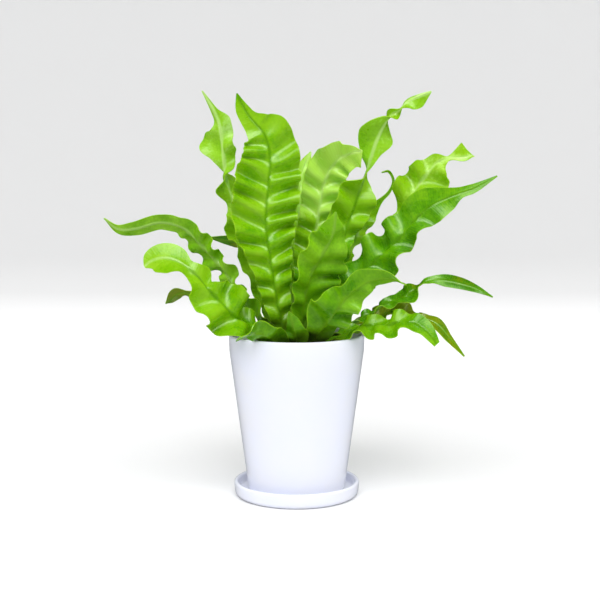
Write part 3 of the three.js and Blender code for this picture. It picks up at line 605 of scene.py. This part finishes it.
# Frond blade: a waxy skin with a satin shine over green flesh that lets some light through, from
# olive and deep green where it is old to yellow green and pale where it is young. The underside is
# duller. Side veins stand about 1.4 mm apart, and are drawn coarser so that they show at all.
BLOTCH_MM, FLECK_MM, BLOTCH_SHIFT, FLECK_SHIFT = 24, 2.5, 0.18, 0.07
VEIN_LINE_MM, VEIN_LINE_FROM, VEIN_DEEP, LEATHER_DEEP = 2.1, 0.3, 0.12, 0.15
RIB_FULL_MM, RIB_GONE_MM, RIB_COVER = 0.56, 2.4, 0.65
MARGIN_FROM, MARGIN_COVER = 0.95, 0.45
FOOT_FROM_MM, FOOT_TO_MM, FOOT_COVER = 10, 42, 0.9
DULL_LESS, DULL_MORE = 0.05, 0.06
WAX_IOR, WAX_LEVEL, WAX_TINT = 1.5, 0.7, srgb("#F3FFE0")
FLESH_SHARE, FLESH_REACH, FLESH_DEPTH = 0.12, (0.5, 1.0, 0.1), 1.5


def blade_skin(name, greens, ribs, vein, margin, foot, dull, vein_share):
    """The skin of one face of the blades. Greens and ribs run from old and deep to young.

    The other colours are those of the side veins, the margins and the foot of the stalk. Dull is
    the roughness, and vein_share is how much of its colour a side vein gets.
    """
    made, shader = finish_named(name)
    laid = add(made, "SeparateXYZ", {0: add(made, "UVMap", uv_map="blade").outputs[0]}).outputs
    tone = add(made, "Attribute", attribute_name="tone").outputs["Fac"]
    outness = add(made, "Attribute", attribute_name="outness").outputs["Fac"]
    place = add(made, "TexCoord").outputs["Object"]
    blotch = add(made, "TexNoise", {"Vector": place, "Scale": 1 / (BLOTCH_MM * MM), "Detail": 3.0})
    fleck = add(made, "TexNoise", {"Vector": place, "Scale": 1 / (FLECK_MM * MM), "Detail": 2.0})
    uneven = add(made, "MapRange", {0: blotch.outputs["Fac"], 1: NOISE_LOW, 2: NOISE_HIGH,
                                    3: -BLOTCH_SHIFT, 4: BLOTCH_SHIFT})
    # the tone with its blotches: the leaf's age colour, and on back_bent's tip also painted light
    youth_and_painted_light = add(made, "Math", {0: tone, 1: uneven.outputs[0]}, operation="ADD")
    speck = add(made, "MapRange", {0: fleck.outputs["Fac"], 1: NOISE_LOW, 2: NOISE_HIGH,
                                   3: -FLECK_SHIFT, 4: FLECK_SHIFT})
    youth_and_painted_light = add(made, "Math", {0: youth_and_painted_light.outputs[0], 1: speck.outputs[0]}, operation="ADD")
    green = add(made, "ValToRGB", {0: youth_and_painted_light.outputs[0]})
    rib_tone = add(made, "ValToRGB", {0: tone})
    for ramp, stops in ((green.color_ramp, greens), (rib_tone.color_ramp, ribs)):
        for _ in stops[2:]:
            ramp.elements.new(0.5)
        for stop, (spot, code) in zip(ramp.elements, stops):
            stop.position, stop.color = spot, srgb(code)
    # side veins lean forward from the rib, and their lines repeat along it at an even spacing
    off = add(made, "Math", {0: laid[0]}, operation="ABSOLUTE").outputs[0]
    climb = add(made, "Math", {0: off, 1: -PLEAT_LEAN, 2: laid[1]}, operation="MULTIPLY_ADD")
    turns = add(made, "Math", {0: climb.outputs[0], 1: 2 * math.pi / (VEIN_LINE_MM * MM),
                               2: blotch.outputs["Fac"]}, operation="MULTIPLY_ADD")
    swell = add(made, "Math", {0: turns.outputs[0]}, operation="SINE")
    line = add(made, "MapRange", {0: swell.outputs[0], 1: VEIN_LINE_FROM, 2: 1.0, 3: 0.0,
                                  4: vein_share})
    veined = add(made, "Mix", {0: line.outputs[0], 6: green.outputs[0], 7: srgb(vein)},
                 data_type="RGBA")
    rib = add(made, "MapRange", {0: off, 1: RIB_FULL_MM * MM, 2: RIB_GONE_MM * MM,
                                 3: RIB_COVER, 4: 0.0})
    ribbed = add(made, "Mix", {0: rib.outputs[0], 6: veined.outputs[2], 7: rib_tone.outputs[0]},
                 data_type="RGBA")
    edge = add(made, "MapRange", {0: outness, 1: MARGIN_FROM, 2: 1.0, 3: 0.0, 4: MARGIN_COVER})
    edged = add(made, "Mix", {0: edge.outputs[0], 6: ribbed.outputs[2], 7: srgb(margin)},
                data_type="RGBA")
    low = add(made, "MapRange", {0: laid[1], 1: FOOT_FROM_MM * MM, 2: FOOT_TO_MM * MM,
                                 3: FOOT_COVER, 4: 0.0})
    whole = add(made, "Mix", {0: low.outputs[0], 6: edged.outputs[2], 7: srgb(foot)},
                data_type="RGBA")
    worn = add(made, "MapRange", {0: blotch.outputs["Fac"], 1: NOISE_LOW, 2: NOISE_HIGH,
                                  3: dull - DULL_LESS, 4: dull + DULL_MORE})
    veins = add(made, "Bump", {"Height": swell.outputs[0], "Strength": 0.15,
                               "Distance": VEIN_DEEP * MM})
    leathery = add(made, "Bump", {"Height": fleck.outputs["Fac"], "Strength": 0.25,
                                  "Distance": LEATHER_DEEP * MM, "Normal": veins.outputs[0]})
    feed(shader, {"Base Color": whole.outputs[2], "Roughness": worn.outputs[0],
                  "Normal": leathery.outputs[0], "IOR": WAX_IOR, "Specular IOR Level": WAX_LEVEL,
                  "Specular Tint": WAX_TINT, "Subsurface Weight": FLESH_SHARE,
                  "Subsurface Radius": FLESH_REACH, "Subsurface Scale": FLESH_DEPTH * MM})
    return made


upper_face = blade_skin(
    "waxy_frond_upper_face",
    ((0.0, "#788E00"), (0.18, "#387C00"), (0.35, "#5AA000"), (0.5, "#7AB800"), (0.85, "#96CC18"),
     (1.0, "#BAEA58")),
    ((0.4, "#609E00"), (0.62, "#549400"), (0.76, "#D0F48C")),
    "#94CC10", "#B0DC30", "#2E3A10", 0.27, 0.16)
under_face = blade_skin(
    "matt_frond_underside",
    ((0.0, "#7A8E08"), (0.18, "#408400"), (0.5, "#70B000"), (0.8, "#98D420"),
     (1.0, "#BCEA78")),
    ((0.5, "#6A9E08"), (0.76, "#CCF090")),
    "#86BC10", "#B0DC30", "#37401A", 0.31, 0.12)
for frond in FRONDS:
    grow(*frond)

# The crown: a stout upright rhizome at the middle of the rosette, woody and brown, with a hole
# for each stalk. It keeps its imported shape, which the scales below cover.
RHIZOME_GRAIN_MM, RHIZOME_DEEP, RHIZOME_ROUGHNESS = 2.2, 0.8, 0.9
RHIZOME_DARK, RHIZOME_BROWN = srgb("#23160D"), srgb("#5B3F27")
rhizome, shader = finish_named("fibrous_brown_rhizome")
place = add(rhizome, "TexCoord").outputs["Object"]
fibre = add(rhizome, "TexNoise", {"Vector": place, "Scale": 1 / (RHIZOME_GRAIN_MM * MM),
                                  "Detail": 5.0})
umber = add(rhizome, "Mix", {0: fibre.outputs["Fac"], 6: RHIZOME_DARK, 7: RHIZOME_BROWN},
            data_type="RGBA")
shaggy = add(rhizome, "Bump", {"Height": fibre.outputs["Fac"], "Strength": 0.9,
                               "Distance": RHIZOME_DEEP * MM})
feed(shader, {"Base Color": umber.outputs[2], "Normal": shaggy.outputs[0],
              "Roughness": RHIZOME_ROUGHNESS})
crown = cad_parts["crown"]
crown.data.materials.clear()
crown.data.materials.append(rhizome)

# Scales: narrow papery bracts, dry and brown, that wrap the crown and the foot of every stalk.
# One is modelled as a tapered, hollowed strip and laid like shingles, with its tip outwards.
CROWN_R, CROWN_TOP_Z, CROWN_DROP = 23, 151, 11
CROWN_SCALES, STALK_SCALES = 240, 13
SCALE_LENGTH, SCALE_HALF, SCALE_TIP_HALF, SCALE_THICK = 7.5, 1.1, 0.06, 0.12
SCALE_TAPER, SCALE_FOOT, SCALE_HOLLOW, SCALE_DROOP, SCALE_SPRING = 0.7, 0.7, 0.5, 1.6, 0.8
CROWN_FILL, SCALE_SIZES, SET_BACK = (0.02, 0.98), (0.6, 1.05), 2
TIP_STRAY, TIP_RISE = 0.4, (-0.2, 0.7)
STALK_SCALES_FROM, STALK_SCALES_RUN, STALK_WIDE, STALK_DEEP = 4, 18, 2.0, 1.2
STALK_SCALE_SIZES, FOOT_SIZE, SIZE_LOSS, TIP_FLARE = (0.5, 0.9), 1.1, 0.5, (0.05, 0.25)

# Dry bract: thin as paper, dull, and straw brown with darker patches.
BRACT_GRAIN_MM, BRACT_ROUGHNESS = 3, 0.7
bract, shader = finish_named("papery_brown_scale")
place = add(bract, "TexCoord").outputs["Object"]
dry = add(bract, "TexNoise", {"Vector": place, "Scale": 1 / (BRACT_GRAIN_MM * MM), "Detail": 3.0})
straw = add(bract, "Mix", {0: dry.outputs["Fac"], 6: srgb("#3B2413"), 7: srgb("#8A6238")},
            data_type="RGBA")
feed(shader, {"Base Color": straw.outputs[2], "Roughness": BRACT_ROUGHNESS})

bpy.ops.object.select_all(action="DESELECT")
bpy.ops.mesh.primitive_grid_add(x_subdivisions=2, y_subdivisions=4, size=2)
scale = bpy.context.object
for v in scale.data.vertices:
    up_scale = (v.co.y + 1) / 2
    wide = SCALE_HALF * (1 - up_scale) ** SCALE_TAPER * (SCALE_FOOT + up_scale) + SCALE_TIP_HALF
    hollow = SCALE_HOLLOW * abs(v.co.x) * wide
    v.co = Vector((v.co.x * wide, SCALE_LENGTH * up_scale,
                   hollow - SCALE_DROOP * up_scale ** 2 + SCALE_SPRING * up_scale))
body = scale.modifiers.new("body", "SOLIDIFY")
body.thickness, body.offset = SCALE_THICK, 0
bpy.ops.object.modifier_apply(modifier="body")
bpy.ops.object.shade_smooth_by_angle(angle=SMOOTH_BELOW)


def set_on(spot, tip, face, size):
    """The matrix that lays a scale at a spot, its tip and its face in the given directions."""
    tip = Vector(tip).normalized()
    side = tip.cross(Vector(face)).normalized()
    face = side.cross(tip)
    turned = Matrix((side, tip, face)).transposed().to_4x4()
    return Matrix.Scale(MM, 4) @ Matrix.Translation(spot) @ turned @ Matrix.Scale(size, 4)


random.seed(11)
places = []
for _ in range(CROWN_SCALES):
    r = CROWN_R * math.sqrt(random.uniform(*CROWN_FILL))
    a = random.uniform(0, 2 * math.pi)
    outward = Vector((math.cos(a), math.sin(a), 0))
    slope = 2 * CROWN_DROP * r / CROWN_R ** 2
    face = (outward * slope + Vector((0, 0, 1))).normalized()
    tip = outward + Vector((random.uniform(-TIP_STRAY, TIP_STRAY),
                            random.uniform(-TIP_STRAY, TIP_STRAY),
                            random.uniform(*TIP_RISE) - slope))
    root = r - SET_BACK
    spot = outward * root + Vector((0, 0, CROWN_TOP_Z - CROWN_DROP * (root / CROWN_R) ** 2))
    places.append((set_on(spot, tip, face, random.uniform(*SCALE_SIZES)), 0))
for name, facing, _, _, _, _, rows in FRONDS:
    up_stalk = np.array([random.uniform(0.0, 1.0) for _ in range(STALK_SCALES)])
    rows = np.array(rows, float)
    length = midrib(facing, rows, np.array([0.0]))[0]
    at = (STALK_SCALES_FROM + STALK_SCALES_RUN * up_stalk) / length
    _, centre, forward, left, up, _ = midrib(facing, rows, at)
    for i in range(STALK_SCALES):
        a = random.uniform(0, 2 * math.pi)
        off = (Vector(left[i]) * math.cos(a) * STALK_WIDE
               + Vector(up[i]) * math.sin(a) * STALK_DEEP)
        tip = Vector(forward[i]) + off * random.uniform(*TIP_FLARE)
        size = random.uniform(*STALK_SCALE_SIZES) * (FOOT_SIZE - SIZE_LOSS * up_stalk[i])
        places.append((set_on(Vector(centre[i]) + off, tip, off, size), 0))
scales = strew("crown_scales", scale, places, (bract,))
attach(scales, "root")

# The studio: one paper roll, white on the table, made as one extruded sheet. From the foot of its
# curve up it is painted pale grey, painted shade for the light that falls off up the wall, and it
# is darkest low on the curve, where it offsets the light the floor throws up. It is kept out of
# reflections, where it would wash the greens out. Lengths of the studio, the room and the camera's
# place are in metres.
FLOOR_HALF, FLOOR_FRONT, WALL_Y, WALL_TOP, SWEEP_R = 4.0, -2.5, 1.0, 3.2, 0.16
SWEEP_STEPS = 16
WALL_SHADE_UP_TO, WALL_SHADE_DARKEST_AT = 0.6, 0.15
bpy.ops.object.select_all(action="DESELECT")
bpy.ops.mesh.primitive_plane_add(size=1)
sweep = bpy.context.object
sweep.name = sweep.data.name = "paper_sweep"
for v in sweep.data.vertices:
    v.co = Vector((2 * FLOOR_HALF * v.co.x, FLOOR_FRONT if v.co.y < 0 else WALL_Y, 0))
bpy.ops.object.mode_set(mode="EDIT")
bpy.ops.mesh.select_all(action="DESELECT")
bpy.ops.object.mode_set(mode="OBJECT")
for edge in sweep.data.edges:
    edge.select = all(sweep.data.vertices[i].co.y > 0 for i in edge.vertices)
bpy.ops.object.mode_set(mode="EDIT")
last = (0.0, 0.0)
for i in range(1, SWEEP_STEPS + 1):
    a = math.pi / 2 * i / SWEEP_STEPS
    here = (SWEEP_R * math.sin(a), SWEEP_R * (1 - math.cos(a)))
    bpy.ops.mesh.extrude_region_move(
        TRANSFORM_OT_translate={"value": (0, here[0] - last[0], here[1] - last[1])})
    last = here
bpy.ops.mesh.extrude_region_move(TRANSFORM_OT_translate={"value": (0, 0, WALL_TOP - SWEEP_R)})
bpy.ops.object.mode_set(mode="OBJECT")
bpy.ops.object.shade_smooth()
paper, shader = finish_named("matt_paper_roll")
place = add(paper, "TexCoord").outputs["Object"]
height = add(paper, "SeparateXYZ", {0: place}).outputs[2]
# painted shade: the paper turns grey up the curve and the wall, darkest low on the curve
share = add(paper, "MapRange", {0: height, 1: 0.0, 2: WALL_SHADE_UP_TO}).outputs[0]
grey = add(paper, "ValToRGB", {0: share})
grey.color_ramp.elements[0].color = srgb("#F0F0F0")
grey.color_ramp.elements[1].color = srgb("#D7D7D7")
grey.color_ramp.elements.new(WALL_SHADE_DARKEST_AT).color = srgb("#D3D3D3")
feed(shader, {"Base Color": grey.outputs[0], "Roughness": 1.0, "Specular IOR Level": 0.0})
sweep.data.materials.append(paper)
sweep.visible_glossy = False

# The room: pale grey walls far off, which show past the edges of the roll from the sides and the
# back. Their grey is painted light: they glow evenly and have no colour of their own, standing in
# for a large evenly lit room, and as only the camera sees them they neither light the plant nor
# shade it.
ROOM_R = 6.0
bpy.ops.object.select_all(action="DESELECT")
bpy.ops.mesh.primitive_uv_sphere_add(segments=64, ring_count=32, radius=ROOM_R)
walls = bpy.context.object
walls.name = walls.data.name = "room_walls"
wall_glow, shader = finish_named("even_grey_wall")
feed(shader, {"Base Color": srgb("#000000"), "Specular IOR Level": 0.0,
              "Emission Color": srgb("#E6E6E6"), "Emission Strength": 1.0})
wall_glow.cycles.emission_sampling = "NONE"
walls.data.materials.append(wall_glow)
walls.visible_diffuse = walls.visible_glossy = walls.visible_transmission = False
walls.visible_volume_scatter = walls.visible_shadow = False

# Light: two broad soft lamps high in front, which alone shine on the leaves, a weaker one behind
# and a very broad one on each side for the flanks of the pot. The room is dim and isn't mirrored,
# so that shine shows only on pleats that face the front lamps.
ROOM_LIGHT = 0.12
# each lamp: its name, power, width in degrees, the way to it, and whether it shines
LAMPS = (
    ("key", 1.6, 44, (-0.22, -0.8, 1.0), True),
    ("second", 1.1, 40, (0.32, -0.78, 1.0), True),
    ("back", 0.45, 30, (0.1, 0.4, 1.0), False),
    ("left", 0.95, 70, (-1.0, -0.2, 0.4), False),
    ("right", 0.95, 70, (1.0, -0.2, 0.4), False),
)
for name, power, wide, source, shines in LAMPS:
    lamp = bpy.data.lights.new(name, "SUN")
    lamp.energy, lamp.angle = power, math.radians(wide)
    stand = bpy.data.objects.new(name, lamp)
    stand.rotation_euler = Vector(source).to_track_quat("Z", "Y").to_euler()
    stand.visible_glossy = shines
    bpy.context.collection.objects.link(stand)
room = bpy.data.worlds.new("dim_room")
room.use_nodes = True
feed(room.node_tree.nodes["Background"], {"Color": srgb("#F2F5FA"), "Strength": ROOM_LIGHT})
room.cycles_visibility.glossy = False
bpy.context.scene.world = room
bpy.context.scene.view_settings.view_transform = "Standard"

# Camera: a little over a metre in front and level with the fronds, looking slightly down, with a
# lens a little longer than normal.
CAMERA_AT, CAMERA_TILT = (0.0032, -1.082, 0.297), 84.3
LENS_MM, SENSOR_MM = 68.1, 36
camera = bpy.data.objects.new("camera", bpy.data.cameras.new("camera"))
camera.location = CAMERA_AT
camera.rotation_euler = (math.radians(CAMERA_TILT), 0, 0)
camera.data.lens, camera.data.sensor_width = LENS_MM, SENSOR_MM
bpy.context.collection.objects.link(camera)
bpy.context.scene.camera = camera
